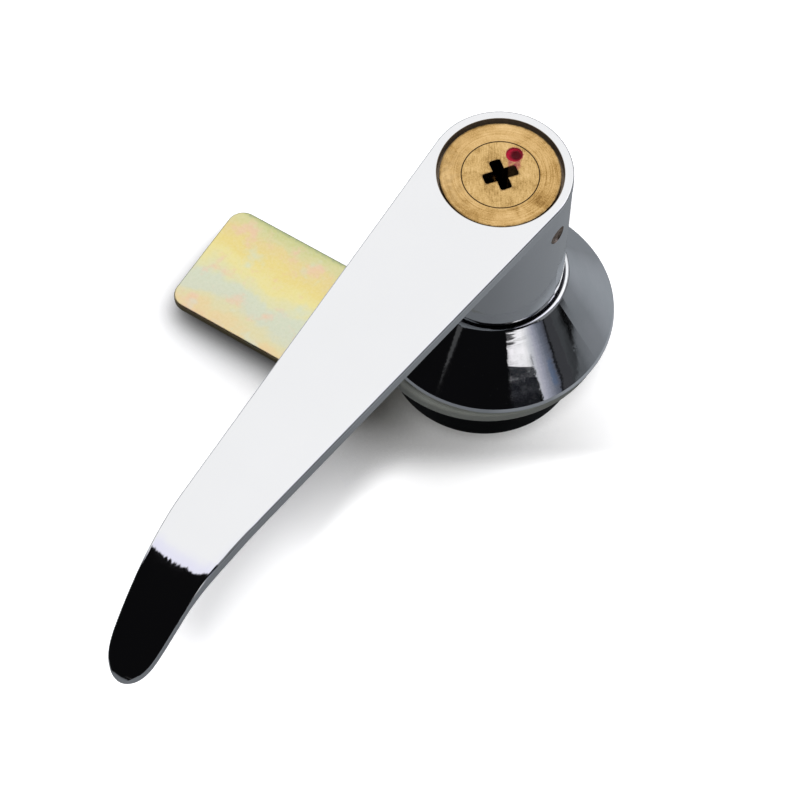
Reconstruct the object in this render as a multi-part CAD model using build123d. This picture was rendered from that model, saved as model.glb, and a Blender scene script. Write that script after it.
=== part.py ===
from build123d import *
import math
import os

os.makedirs("parts", exist_ok=True)

# ---------------------------------------------------------------------------
# Panel lock with an L handle, a cross-key cylinder and a cranked cam.
# Frame: origin on the spindle axis, in the plane where the panel's front face
# meets the gasket.  +Z comes out of the panel towards the user.  The lever
# points along -Y and the cam along -X, with the cam in its closed position.
# All lengths in millimetres.
# ---------------------------------------------------------------------------

# --- handle: head, barrel and shaft ----------------------------------------
H_TOP = 50.8          # top face of the lever above the panel
HEAD_R = 13.3         # head radius at the top
BARREL_R = 12.3       # radius of the barrel's foot inside the housing
BASE_R = 13.07        # barrel radius just above the housing
BASE_Z = 17.3         # height of the barrel's lower edge
BEAD_R = 13.15        # tiny bead that closes the barrel's lower edge
BEAD_Z = 16.7
BARREL_Z = 17.35      # top of the housing lip
FOOT_Z = 5.0          # underside of the barrel's foot inside the housing
SHAFT_R = 8.0         # round shaft through the neck
SHAFT_END = -17.9     # where the shaft turns into its square
SQ = 10.0             # square end, across flats
SQ_END = -21.4        # rear end of the square
CYL_BORE_R = 11.08    # bore for the lock cylinder
RECESS_R = 11.6       # short wider mouth of that bore
RECESS_D = 2.4
CYL_BORE_Z = 24.0     # floor of that bore
TAIL_BORE_R = 3.8

# --- lever blade ------------------------------------------------------------
BEND_Y = -92.0        # where the flat top starts to turn down
BEND_R = 14.0         # radius of that bend
BEND_A = 36.0         # slope of the tip, degrees
LEV_T = 3.5           # blade thickness
TIP_T = 2.5           # thickness of the turned-down tip
TIP_END = -113.95     # end of the tip in plan
CAP_R, CAP_ROUND, CAP_A = 5.0, 3.8, 39.0     # the tip's end rounds over in a ring
TOP_FILLET = 0.4
UNDER_FILLET = 0.9    # rounding of the underside's edges

# --- lock cylinder ------------------------------------------------------------
CYL_R = 11.0
CYL_TOP = 50.0
CYL_BOT = 26.0
PLUG_R = 7.07
PLUG_BORE_R = 7.11
PLUG_BOT = 24.6
KEY_ANGLE = 52.4      # direction of one arm of the cross keyway, degrees
KEY_SPAN = 6.5        # cross keyway, tip to tip
KEY_W = 2.2           # width of each arm
KEY_DEPTH = 21.0
DOT_ANGLE = 91.0      # marker dot on the plug face
DOT_PCD_R = 5.0
DOT_R = 1.5
PIN_R = 0.85          # pin tumblers
PIN_Z = (44.5, 38.5, 32.5)
XPIN_R = 1.88         # pin that holds the cylinder in the head
XPIN_Z = 42.0
XPIN_A = -4.6         # its direction, degrees from +X

# --- locking bolt -------------------------------------------------------------
ECC = 2.12            # eccentricity of the tailpiece's peg
PEG_R = 1.4
BOLT_Z0, BOLT_Z1 = 8.0, 12.0
BOLT_W = 9.6
NOSE_W = 6.0
NOSE_TIP = 11.75
BOLT_TRAVEL = 3.0

# --- housing --------------------------------------------------------------------
RIM_R = 23.6          # base radius of the cone
LIP_BORE_R = 13.42    # mouth that takes the barrel's bead
LIP_BORE_Z = 16.3
LIP_ROUND = 0.9       # the cone rounds over into the lip
RIM_Z0, RIM_Z1 = 2.55, 3.25
HOUS_BORE_R = 12.42
NECK_R = 11.0         # threaded neck, M22
NECK_AF = 20.0        # across the two flats of the neck
NECK_END = -17.6
NECK_BORE_R = 8.06

# --- clamping stack ---------------------------------------------------------------
SLACK = (-1.15, -0.71)   # gasket and collar lie this far off centre, unclamped
GASKET_R = 24.0
GASKET_T = 2.5
SEAT_R = 19.2         # the gasket's seat lies outside this radius
COLLAR_R = 18.9
COLLAR_L = 13.5       # shoulder the nut bears on
COLLAR_SKIRT = 1.5    # skirt that hides the toothed washer
COLLAR_BORE_R = 12.6
NUT_AF = 27.0
NUT_T = 3.3

# --- cam --------------------------------------------------------------------------------
CAM_W = 27.0
CAM_T = 2.0
CAM_LEN = 70.4        # axis to the cam's far edge
CAM_ROOT_Z = -19.5    # front face of the cam's root
CAM_TIP_Z = -39.0     # front face of the cam's working end
CAM_J0, CAM_J1 = -15.0, -25.5   # where the crank starts and ends
CAM_CORNER = 3.6


def cyl(r, z0, z1, x=0.0, y=0.0):
    return Pos(x, y, (z0 + z1) / 2) * Cylinder(r, abs(z1 - z0))


def box(x0, x1, y0, y1, z0, z1):
    return Pos((x0 + x1) / 2, (y0 + y1) / 2, (z0 + z1) / 2) * Box(
        abs(x1 - x0), abs(y1 - y0), abs(z1 - z0))


def radial_cyl(r, r0, r1, ang, z):
    """Cylinder whose axis points outward from the lock's axis at an angle."""
    return Rot(0, 0, ang) * Pos((r0 + r1) / 2, 0, z) * Rot(0, 90, 0) * Cylinder(r, r1 - r0)


def save(node, shape):
    shape.label = node
    export_step(shape, f"parts/{node}.step")


def group(solids):
    return Compound(children=list(solids))


def try_fillet(shape, edges, radii):
    """Fillet with the first radius of the list that the shape accepts."""
    for r in radii:
        try:
            out = fillet(edges, r)
            if out.is_valid and abs(out.volume) > 0:
                return out
        except Exception:
            pass
    print("fillet skipped", radii)
    return shape


# ---------------------------------------------------------------------------
# HANDLE: one casting - lever, head, barrel, foot, shaft and square end
# ---------------------------------------------------------------------------
ta = math.radians(-7.9)
r_tan = (HEAD_R * math.cos(ta), HEAD_R * math.sin(ta))

with BuildSketch(Plane.XY) as plan:
    with BuildLine():
        l_left = Line((-HEAD_R, 0), (-12.38, -83.0))
        l_sw = Spline((-12.38, -83.0), (-12.22, -87.6), (-11.82, -91.5), (-11.35, -96.0), (-11.13, -99.7),
                      (-10.98, -103.0), (-10.7, -106.3), (-10.28, -109.3), (-9.4, -111.7),
                      (-7.8, -113.4), (-5.65, -113.95), (-3.65, -113.1), (-2.1, -111.05),
                      (-1.3, -108.0), (-0.8, -104.2), (-0.27, -100.0), (0.28, -95.0),
                      (1.07, -88.0), (1.95, -80.5),
                      tangents=[(0.012, -1.0), (0.139, 0.99)])
        l_right = Line((1.95, -80.5), r_tan)
        l_head = ThreePointArc(r_tan, (0, HEAD_R), (-HEAD_R, 0))
    make_face()
blade_plan = extrude(Plane.XY.offset(20) * plan.sketch, 40)

ba = math.radians(BEND_A)
by1 = BEND_Y - BEND_R * math.sin(ba)
bz1 = H_TOP - BEND_R * (1 - math.cos(ba))
bm = math.radians(BEND_A / 2)
# underside: parallel to the top, thinning towards the tip
ux, uz = math.sin(ba), math.cos(ba)
u_y0, u_z0 = by1 - 1.5 + TIP_T * ux, bz1 - 1.5 * math.tan(ba) - TIP_T * uz
u_y1 = -116.0 + TIP_T * ux
u_z1 = bz1 - (by1 + 116.0) * math.tan(ba) - TIP_T * uz
with BuildSketch(Plane.YZ) as side:
    with BuildLine():
        Line((20, H_TOP), (BEND_Y, H_TOP))
        ThreePointArc((BEND_Y, H_TOP),
                      (BEND_Y - BEND_R * math.sin(bm), H_TOP - BEND_R * (1 - math.cos(bm))),
                      (by1, bz1))
        Line((by1, bz1), (-116.0, bz1 - (by1 + 116.0) * math.tan(ba)))
        Line((-116.0, bz1 - (by1 + 116.0) * math.tan(ba)), (-116.0, u_z1 - 6.0))
        Line((-116.0, u_z1 - 6.0), (u_y1, u_z1))
        Line((u_y1, u_z1), (u_y0, u_z0))
        Spline((u_y0, u_z0), (BEND_Y + 6.0, H_TOP - LEV_T),
               tangents=[(math.cos(ba), math.sin(ba)), (1.0, 0.0)])
        Line((BEND_Y + 6.0, H_TOP - LEV_T), (20, H_TOP - LEV_T))
        Line((20, H_TOP - LEV_T), (20, H_TOP))
    make_face()
blade_side = Pos(-40, 0, 0) * extrude(side.sketch, 80)
blade = blade_plan & blade_side


# the end of the tip rounds over: a ring-shaped cut, deepest at the very end,
# that fades out along both sides
cq = math.radians(CAP_A)
cap_y = TIP_END + (CAP_R + CAP_ROUND * math.sin(cq)) * math.cos(ba) - CAP_ROUND * (1 - math.cos(cq)) * math.sin(ba)
cap_z = bz1 - (by1 - cap_y) * math.tan(ba)
r0 = CAP_R
with BuildSketch(Plane.XZ) as ring_prof:
    with BuildLine():
        q1, q2 = math.radians(25.0), math.radians(50.0)
        ThreePointArc((r0, 0.012),
                      (r0 + CAP_ROUND * math.sin(q1), 0.012 - CAP_ROUND * (1 - math.cos(q1))),
                      (r0 + CAP_ROUND * math.sin(q2), 0.012 - CAP_ROUND * (1 - math.cos(q2))))
        Polyline((r0 + CAP_ROUND * math.sin(q2), 0.012 - CAP_ROUND * (1 - math.cos(q2))),
                 (r0 + 6.0, -3.0), (r0 + 6.0, 3.0), (r0, 3.0), (r0, 0.012))
    make_face()
ring = revolve(ring_prof.sketch, Axis.Z) & box(0.0, 30, -30, 30, -10, 10)
slope_plane = Plane(origin=(-6.0, cap_y, cap_z), x_dir=(0, -math.cos(ba), -math.sin(ba)),
                    z_dir=(0, -math.sin(ba), math.cos(ba)))
blade = blade - slope_plane.location * ring


def rim_edges(shape, upper):
    """Edges between the blade's side walls and its top (or its underside)."""
    walls, caps = [], []
    for f in shape.faces():
        nz = f.normal_at(f.center()).Z
        if abs(nz) < 0.02:
            walls.append(f)
        elif (nz > 0) == upper:
            caps.append(f)
    out = []
    for e in shape.edges():
        if any(e.is_same(k) for f in walls for k in f.edges()) and any(e.is_same(k) for f in caps for k in f.edges()):
            out.append(e)
    return out


# a soft edge round the top, a rounder one below, then the head's barrel
low_mid = [e @ 0.5 for e in rim_edges(blade, False)]
blade = try_fillet(blade, rim_edges(blade, True), (TOP_FILLET, 0.35, 0.3, 0.25))
low = [e for e in blade.edges() if any((e @ 0.5 - m).length < 0.02 for m in low_mid)]
blade = try_fillet(blade, low, (UNDER_FILLET, 0.8, 0.7, 0.6, 0.5))

with BuildSketch(Plane.XZ) as prof:
    with BuildLine():
        Polyline((0, FOOT_Z), (BARREL_R, FOOT_Z), (BARREL_R, BEAD_Z), (BEAD_R, BEAD_Z),
                 (BEAD_R, BASE_Z - 0.12), (BEAD_R - 0.04, BASE_Z - 0.03), (BASE_R, BASE_Z + 0.05),
                 (HEAD_R - 0.06, H_TOP - LEV_T), (HEAD_R - 0.06, H_TOP - LEV_T + 2.0),
                 (0, H_TOP - LEV_T + 2.0), (0, FOOT_Z))
    make_face()
barrel = revolve(prof.sketch, Axis.Z)
handle = blade + barrel

# a small cast fillet under the lever where it runs into the barrel
zf = H_TOP - LEV_T
rf = 2.0
rb = HEAD_R - 0.06 - (HEAD_R - 0.06 - BASE_R) * rf / (zf - BASE_Z)
with BuildSketch(Plane.XZ) as fp:
    with BuildLine():
        Polyline((rb + rf, zf), (rb + rf, zf + 0.3), (rb - 1.5, zf + 0.3), (rb - 1.5, zf - rf), (rb - 0.02, zf - rf))
        ThreePointArc((rb - 0.02, zf - rf),
                      (rb + rf * (1 - math.cos(math.pi / 4)), zf - rf + rf * math.sin(math.pi / 4)),
                      (rb + rf, zf))
    make_face()
with BuildSketch(Plane.XY) as web:
    with BuildLine():
        Polyline((-HEAD_R + 1.3, 2), (-HEAD_R + 1.3, -30), (8.0, -30), (11.9, -2), (11.9, 2), (-HEAD_R + 1.3, 2))
    make_face()
handle = handle + (revolve(fp.sketch, Axis.Z) & extrude(Plane.XY.offset(30) * web.sketch, 20))

handle = handle + cyl(SHAFT_R, FOOT_Z + 0.5, SHAFT_END) + box(-SQ / 2, SQ / 2, -SQ / 2, SQ / 2, SHAFT_END + 0.5, SQ_END)
handle = handle - cyl(CYL_BORE_R, CYL_BORE_Z, H_TOP + 5) - cyl(RECESS_R, H_TOP - RECESS_D, H_TOP + 5)
handle = handle - cyl(TAIL_BORE_R, BOLT_Z0, CYL_BORE_Z + 1)
# channel of the locking bolt, open to +Y
handle = handle - box(-BOLT_W / 2 - 0.08, BOLT_W / 2 + 0.08, -5.2, 20, BOLT_Z0 - 0.08, BOLT_Z1 + 0.08)
# groove of the O-ring, pocket of the detent ball, hole of the cylinder pin
handle = handle - (cyl(BARREL_R + 2, 13.4, 15.4) - cyl(BARREL_R - 1.88, 13.4, 15.4))
handle = handle - radial_cyl(2.05, 6.1, 14.0, -90, 9.6)
handle = handle - radial_cyl(XPIN_R + 0.02, 9.0, 16.0, XPIN_A, XPIN_Z)
# tapped hole for the cam's screw
handle = handle - cyl(3.02, SQ_END - 1, -8.0)
save("handle", handle)

# ---------------------------------------------------------------------------
# LOCK CYLINDER
# ---------------------------------------------------------------------------
rows = [KEY_ANGLE + 90 * k for k in range(4)]

body = cyl(CYL_R, CYL_BOT, CYL_TOP) - cyl(PLUG_BORE_R, CYL_BOT - 1, CYL_TOP + 1)
for a in rows:
    for z in PIN_Z:
        body = body - radial_cyl(PIN_R + 0.05, 6.5, 12, a, z)
body = body - radial_cyl(XPIN_R + 0.02, 8.3, 14.0, XPIN_A, XPIN_Z)
save("cylinder_body", body)

arm = box(-KEY_SPAN / 2, KEY_SPAN / 2, -KEY_W / 2, KEY_W / 2, CYL_TOP - KEY_DEPTH, CYL_TOP + 1)
arm = fillet(arm.edges().filter_by(Axis.Z), 0.5)
cross = Rot(0, 0, KEY_ANGLE) * (arm + Rot(0, 0, 90) * arm)
plug = cyl(PLUG_R, PLUG_BOT, CYL_TOP) - cross
dx = DOT_PCD_R * math.cos(math.radians(DOT_ANGLE))
dy = DOT_PCD_R * math.sin(math.radians(DOT_ANGLE))
plug = plug - cyl(DOT_R, CYL_TOP - 1.0, CYL_TOP + 1, dx, dy)
plug = plug - (cyl(PLUG_R + 1, 25.05, 25.95) - cyl(5.8, 25.05, 25.95))
for a in rows:
    for z in PIN_Z:
        plug = plug - radial_cyl(PIN_R + 0.05, 1.0, 8.0, a, z)
plug = plug - box(-2.55, 2.55, -1.05, 1.05, PLUG_BOT - 1, PLUG_BOT + 2.2)
save("key_plug", plug)

# paint in the drilled marker dot: a shallow dished fill
dot = cyl(DOT_R - 0.01, CYL_TOP - 0.99, CYL_TOP - 0.25, dx, dy)
dot = dot - Pos(dx, dy, CYL_TOP + 1.35) * Sphere(1.75)
save("marker_dot", dot)

# pin tumblers: key pins of different lengths meet the drivers at the shear line
tips = [2.3, 2.0, 2.6, 2.1, 2.5, 1.9, 2.4, 2.2, 2.7, 2.0, 2.3, 2.6]
kp, dp, sp, cp = [], [], [], []
i = 0
for a in rows:
    for z in PIN_Z:
        t = tips[i % 12]
        i += 1
        pin = radial_cyl(PIN_R, t + 0.6, PLUG_R - 0.03, a, z)
        tip = Rot(0, 0, a) * Pos(t + 0.3, 0, z) * Rot(0, -90, 0) * Cone(PIN_R, 0.35, 0.6)
        kp.append(pin + tip)
        dp.append(radial_cyl(PIN_R, PLUG_BORE_R + 0.03, 8.75, a, z))
        cp.append(radial_cyl(PIN_R + 0.03, 10.25, CYL_R - 0.03, a, z))
        path = Helix(pitch=0.42, height=1.26, radius=0.55)
        prof_c = Plane(origin=path @ 0, z_dir=path % 0) * Circle(0.1)
        coil = sweep(prof_c, path=path, is_frenet=True)
        sp.append(Rot(0, 0, a) * Pos(8.87, 0, z) * Rot(0, 90, 0) * coil)
save("key_pins", group(kp))
save("driver_pins", group(dp))
save("pin_springs", group(sp))
save("chamber_caps", group(cp))

# snap ring that keeps the plug in the cylinder
clip = cyl(8.6, 25.12, 25.88) - cyl(5.85, 25, 26) - box(0, 10, -2.6, 2.6, 25, 26)
save("plug_clip", clip)

# pin that holds the cylinder in the head, its end seen in the barrel's side
save("cylinder_pin", radial_cyl(XPIN_R, 8.4, 13.0, XPIN_A, XPIN_Z))

# tailpiece: tongue, rod and eccentric peg
pa = math.radians(225)
tail = cyl(3.6, 12.4, PLUG_BOT - 0.02) + box(-2.5, 2.5, -1.0, 1.0, PLUG_BOT - 0.5, PLUG_BOT + 2.0)
tail = tail + cyl(PEG_R, 8.35, 12.6, ECC * math.cos(pa), ECC * math.sin(pa))
save("tailpiece", tail)

# locking bolt with the cross slot for the peg
py = ECC * math.sin(pa)
bolt = box(-BOLT_W / 2, BOLT_W / 2, -5.0, 7.8, BOLT_Z0, BOLT_Z1) + box(-NOSE_W / 2, NOSE_W / 2, 7.0, NOSE_TIP, BOLT_Z0, BOLT_Z1)
bolt = bolt - box(-ECC - PEG_R - 0.25, 0.35, py - PEG_R - 0.2, py + PEG_R + 0.2, BOLT_Z0 - 1, BOLT_Z1 + 1)
bolt = bolt - box(0.3, 3.4, -3.4, 5.0, BOLT_Z0 + 1.2, BOLT_Z1 + 1)
bolt = chamfer(bolt.edges().filter_by(Axis.Z).group_by(Axis.Y)[-1], 0.5)
save("lock_bolt", bolt)

# ---------------------------------------------------------------------------
# HOUSING: cone, lip and threaded neck in one casting
# ---------------------------------------------------------------------------
ca = math.radians(55.5)      # slope of the cone, refined so that it meets the rim
rim_top = (RIM_R - 0.3, RIM_Z1 + 0.46)
for _ in range(20):
    lip_s = (LIP_BORE_R + 0.04 + LIP_ROUND * math.sin(ca), BARREL_Z - LIP_ROUND * (1 - math.cos(ca)))
    ca = math.atan2(lip_s[1] - rim_top[1], rim_top[0] - lip_s[0])
lip_m = (LIP_BORE_R + 0.04 + LIP_ROUND * math.sin(ca / 2), BARREL_Z - LIP_ROUND * (1 - math.cos(ca / 2)))
lip_e = (LIP_BORE_R + 0.04, BARREL_Z)
with BuildSketch(Plane.XZ) as hp:
    with BuildLine():
        Polyline((0, RIM_Z0), (RIM_R - 0.6, RIM_Z0), (RIM_R, RIM_Z0 + 0.35), (RIM_R - 0.02, RIM_Z1 - 0.15),
                 rim_top, lip_s)
        ThreePointArc(lip_s, lip_m, lip_e)
        Polyline(lip_e, (0, BARREL_Z), (0, RIM_Z0))
    make_face()
housing = revolve(hp.sketch, Axis.Z)
neck = cyl(NECK_R, NECK_END, RIM_Z0 + 0.5) & box(-20, 20, -NECK_AF / 2, NECK_AF / 2, NECK_END - 1, RIM_Z0 + 1)
neck = neck - (cyl(NECK_R + 2, 1.6, RIM_Z0) - cyl(NECK_R - 0.9, 1.6, RIM_Z0))
housing = housing + neck
# shallow seat for the gasket and relief under the cone
housing = housing - cyl(HOUS_BORE_R, FOOT_Z - 0.75, BARREL_Z + 5) - cyl(LIP_BORE_R, LIP_BORE_Z, BARREL_Z + 5)
housing = housing - cyl(NECK_BORE_R, NECK_END - 1, BARREL_Z)
# two pockets that take the locking bolt, with the handle closed and open
for a in (90, 180):
    housing = housing - Rot(0, 0, a) * box(11.0, NOSE_TIP + BOLT_TRAVEL + 0.5, -NOSE_W / 2 - 0.3, NOSE_W / 2 + 0.3, BOLT_Z0 - 0.3, BOLT_Z1 + 0.3)
# two dimples for the detent ball
for a in (-90, 0):
    housing = housing - Rot(0, 0, a) * Pos(HOUS_BORE_R - 0.95, 0, 9.6) * Sphere(2.1)
# cut-out at the end of the neck where the stop plate's tab runs a quarter turn
TAB_A = 135.0
seg_a0, seg_a1 = TAB_A - 17.5, TAB_A + 90 + 17.5
with BuildSketch(Plane.XY) as seg:
    with BuildLine():
        R = 14.0
        p0 = (R * math.cos(math.radians(seg_a0)), R * math.sin(math.radians(seg_a0)))
        pm = (R * math.cos(math.radians((seg_a0 + seg_a1) / 2)), R * math.sin(math.radians((seg_a0 + seg_a1) / 2)))
        p1 = (R * math.cos(math.radians(seg_a1)), R * math.sin(math.radians(seg_a1)))
        Line((0, 0), p0)
        ThreePointArc(p0, pm, p1)
        Line(p1, (0, 0))
    make_face()
wedge = extrude(Plane.XY.offset(NECK_END - 1) * seg.sketch, 3.4)
housing = housing - (wedge - cyl(NECK_BORE_R - 0.5, NECK_END - 2, NECK_END + 5))
save("housing", housing)

# ---------------------------------------------------------------------------
# SEALS, DETENT AND THRUST WASHER
# ---------------------------------------------------------------------------
save("o_ring", Pos(0, 0, 14.4) * Torus(BARREL_R - 0.92, 0.9))
save("thrust_washer", cyl(12.0, FOOT_Z - 0.72, FOOT_Z - 0.03) - cyl(8.3, FOOT_Z - 1, FOOT_Z + 1))

ball_r = 2.0
save("detent_ball", Rot(0, 0, -90) * Pos(12.25 - ball_r, 0, 9.6) * Sphere(ball_r))
dpath = Helix(pitch=0.55, height=1.65, radius=1.4)
dprof = Plane(origin=dpath @ 0, z_dir=dpath % 0) * Circle(0.22)
dspring = sweep(dprof, path=dpath, is_frenet=True)
save("detent_spring", Rot(0, 0, -90) * Pos(6.3, 0, 9.6) * Rot(0, 90, 0) * dspring)

# ---------------------------------------------------------------------------
# CLAMPING STACK: gasket, collar, toothed washer, hex nut
# ---------------------------------------------------------------------------
gx, gy = SLACK
gasket = cyl(GASKET_R, 0, GASKET_T, gx, gy) - cyl(COLLAR_BORE_R, -1, 5, gx, gy)
gasket = fillet(gasket.edges().filter_by(GeomType.CIRCLE).sort_by(SortBy.RADIUS)[-2:], 0.5)
# the underside is relieved over the collar, so its outer lip seals on the panel
gasket = gasket - cyl(SEAT_R, -1, 0.3, gx, gy)
save("panel_gasket", gasket)

collar = cyl(COLLAR_R, -COLLAR_L - COLLAR_SKIRT, 0, gx, gy) - cyl(COLLAR_BORE_R, -30, 1, gx, gy)
collar = collar - cyl(16.2, -COLLAR_L + 3.0, 1, gx, gy) - cyl(17.3, -30, -COLLAR_L, gx, gy)
rim = collar.edges().filter_by(GeomType.CIRCLE).filter_by(lambda e: e.radius > COLLAR_R - 0.1)
collar = fillet(rim.sort_by(Axis.Z)[0], 0.7)
rim = collar.edges().filter_by(GeomType.CIRCLE).filter_by(lambda e: e.radius > COLLAR_R - 0.1)
collar = fillet(rim.sort_by(Axis.Z)[-1], 0.5)
save("clamp_collar", collar)

# toothed lock washer under the nut
lw = cyl(15.4, -COLLAR_L - 0.75, -COLLAR_L - 0.03) - cyl(11.2, -COLLAR_L - 1, -COLLAR_L)
for k in range(14):
    lw = lw - Rot(0, 0, k * 360 / 14) * box(14.0, 17, -0.9, 0.9, -COLLAR_L - 1, -COLLAR_L + 0.1)
save("lock_washer", lw)

nz0 = -COLLAR_L - 0.78
nut = extrude(Plane.XY.offset(nz0 - NUT_T) * RegularPolygon(NUT_AF / 2, 6, major_radius=False), NUT_T)
nut = nut & (Pos(0, 0, nz0 - NUT_T / 2) * Cylinder(NUT_AF / 2 + 1.9, NUT_T + 1))
bev = Pos(0, 0, nz0 - NUT_T + 6.5) * Cone(NUT_AF / 2 - 0.1, NUT_AF / 2 - 0.1 + 13.0 * 1.7, 13.0)
nut = nut & bev
nut = nut - cyl(NECK_R + 0.04, nz0 - NUT_T - 1, nz0 + 1)
save("panel_nut", nut)

# ---------------------------------------------------------------------------
# DRIVE END: stop plate, cam, washers, screw
# ---------------------------------------------------------------------------
sq_hole = lambda z0, z1: box(-SQ / 2 - 0.04, SQ / 2 + 0.04, -SQ / 2 - 0.04, SQ / 2 + 0.04, z0, z1)
SP0, SP1 = -19.45, -17.95
stop = cyl(11.6, SP0, SP1) - sq_hole(-30, 0)
tab_w = 4.4
stop = stop + Rot(0, 0, TAB_A) * box(8.6, 10.7, -tab_w / 2, tab_w / 2, SP1 - 0.5, -15.75)
save("stop_plate", stop)

# cam: root flat, crank and working flat from one strip
def strip_profile():
    t = CAM_T
    ang = math.atan2(CAM_ROOT_Z - CAM_TIP_Z, CAM_J0 - CAM_J1)
    m = t * math.tan(ang / 2)
    with BuildSketch(Plane.XZ) as s:
        with BuildLine():
            Polyline((14, CAM_ROOT_Z), (CAM_J0 - m, CAM_ROOT_Z), (CAM_J1 - m, CAM_TIP_Z),
                     (-CAM_LEN, CAM_TIP_Z), (-CAM_LEN, CAM_TIP_Z - t), (CAM_J1, CAM_TIP_Z - t),
                     (CAM_J0, CAM_ROOT_Z - t), (14, CAM_ROOT_Z - t), (14, CAM_ROOT_Z))
        make_face()
    return s.sketch

cam = extrude(strip_profile(), CAM_W / 2, both=True)
bends = [e for e in cam.edges().filter_by(Axis.Y) if -40 < (e @ 0.5).X < -10]
inner = [e for e in bends if abs((e @ 0.5).X - CAM_J0) < 0.01 or abs((e @ 0.5).X - (CAM_J1 - CAM_T * math.tan(math.atan2(CAM_ROOT_Z - CAM_TIP_Z, CAM_J0 - CAM_J1) / 2))) < 0.01]
outer = [e for e in bends if e not in inner]
cam = fillet(inner, 1.5)
bends2 = [e for e in cam.edges().filter_by(Axis.Y) if any((e @ 0.5 - o @ 0.5).length < 0.05 for o in outer)]
cam = fillet(bends2, 3.5)
with BuildSketch(Plane.XY) as cp_plan:
    Rectangle(CAM_LEN + 20, CAM_W, align=(Align.MAX, Align.CENTER))
    with Locations((0, 0)):
        Circle(CAM_W / 2)
with BuildSketch(Plane.XY) as cp2:
    with Locations((-CAM_LEN / 2, 0)):
        Rectangle(CAM_LEN, CAM_W)
    fillet(cp2.vertices().group_by(Axis.X)[0], CAM_CORNER)
    with Locations((0, 0)):
        Circle(CAM_W / 2)
cam = cam & extrude(Plane.XY.offset(-60) * cp2.sketch, 60)
cam = cam - sq_hole(-30, 0)
tipface = [e for e in cam.edges() if (e @ 0.5).X < -30 and (abs((e @ 0).Z - CAM_TIP_Z) < 0.01 and abs((e @ 1).Z - CAM_TIP_Z) < 0.01)
           or ((e @ 0.5).X < -30 and abs((e @ 0).Z - CAM_TIP_Z + CAM_T) < 0.01 and abs((e @ 1).Z - CAM_TIP_Z + CAM_T) < 0.01)]
tipface = [e for e in tipface if abs((e @ 0).X - (e @ 1).X) > 0.01 or (e @ 0.5).X < -60]
cam = try_fillet(cam, tipface, (0.5, 0.4, 0.3, 0.2))
save("cam", cam)

cz = CAM_ROOT_Z - CAM_T
save("cam_washer", cyl(8.5, cz - 1.6, cz - 0.02) - cyl(3.2, cz - 3, cz + 1))
sw = cyl(5.6, cz - 3.2, cz - 1.63) - cyl(3.15, cz - 4, cz)
sw = sw - Rot(0, 0, 35) * Pos(4.5, 0, cz - 2.4) * Rot(28, 0, 0) * Box(4.5, 0.6, 4.5)
save("spring_washer", sw)
hz = cz - 3.22
screw = extrude(Plane.XY.offset(hz - 4.0) * RegularPolygon(5.0, 6, major_radius=False), 4.0)
screw = screw & (Pos(0, 0, hz - 4.0 + 4.0) * Cone(4.75, 4.75 + 8.0 * 1.7, 8.0))
screw = screw + cyl(2.98, hz - 0.5, -9.5)
save("cam_screw", screw)
print("done")
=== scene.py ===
import math

import bpy
import bmesh
from mathutils import Matrix, Vector


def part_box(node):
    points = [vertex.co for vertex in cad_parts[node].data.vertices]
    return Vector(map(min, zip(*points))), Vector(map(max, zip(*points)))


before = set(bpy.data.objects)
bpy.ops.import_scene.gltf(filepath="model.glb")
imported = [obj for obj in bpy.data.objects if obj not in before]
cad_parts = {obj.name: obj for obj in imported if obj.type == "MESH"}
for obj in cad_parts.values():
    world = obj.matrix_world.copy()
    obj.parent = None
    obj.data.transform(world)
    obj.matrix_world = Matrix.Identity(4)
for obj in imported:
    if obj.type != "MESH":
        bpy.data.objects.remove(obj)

bpy.context.view_layer.update()

# ---------------------------------------------------------------------------
# Directions of the view: the camera looks down on the lock from its lever's
# side.  ER is the picture's right, EF the ground direction away from it.
# ---------------------------------------------------------------------------
TURN = math.radians(31.8)
PITCH = 1.07585791
ROLL = 0.00719102637
DIST = 0.570889328
U0, V0 = -0.0178160067, -0.0214844553
ER = Vector((math.cos(TURN), math.sin(TURN), 0))
EF = Vector((-math.sin(TURN), math.cos(TURN), 0))
UP = Vector((0, 0, 1))


def uvw(u, v, w):
    return ER * u + EF * v + UP * w


# ---------------------------------------------------------------------------
# Camera
# ---------------------------------------------------------------------------
cam_data = bpy.data.cameras.new("camera")
cam = bpy.data.objects.new("camera", cam_data)
bpy.context.scene.collection.objects.link(cam)
cam_data.sensor_fit = "HORIZONTAL"
cam_data.sensor_width = 36.0
cam_data.lens = 135.0
cam_data.clip_start, cam_data.clip_end = 0.01, 20.0
fwd = EF * math.cos(PITCH) - UP * math.sin(PITCH)
right0 = ER
up0 = EF * math.sin(PITCH) + UP * math.cos(PITCH)
xa = right0 * math.cos(ROLL) + up0 * math.sin(ROLL)
ya = -right0 * math.sin(ROLL) + up0 * math.cos(ROLL)
pos = uvw(U0, V0 - DIST * math.cos(PITCH), DIST * math.sin(PITCH) + 0.004)
m = Matrix((xa, ya, -fwd)).transposed().to_4x4()
m.translation = pos
cam.matrix_world = m
bpy.context.scene.camera = cam

FLOOR_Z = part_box("cam")[0].z - 0.0028


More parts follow.
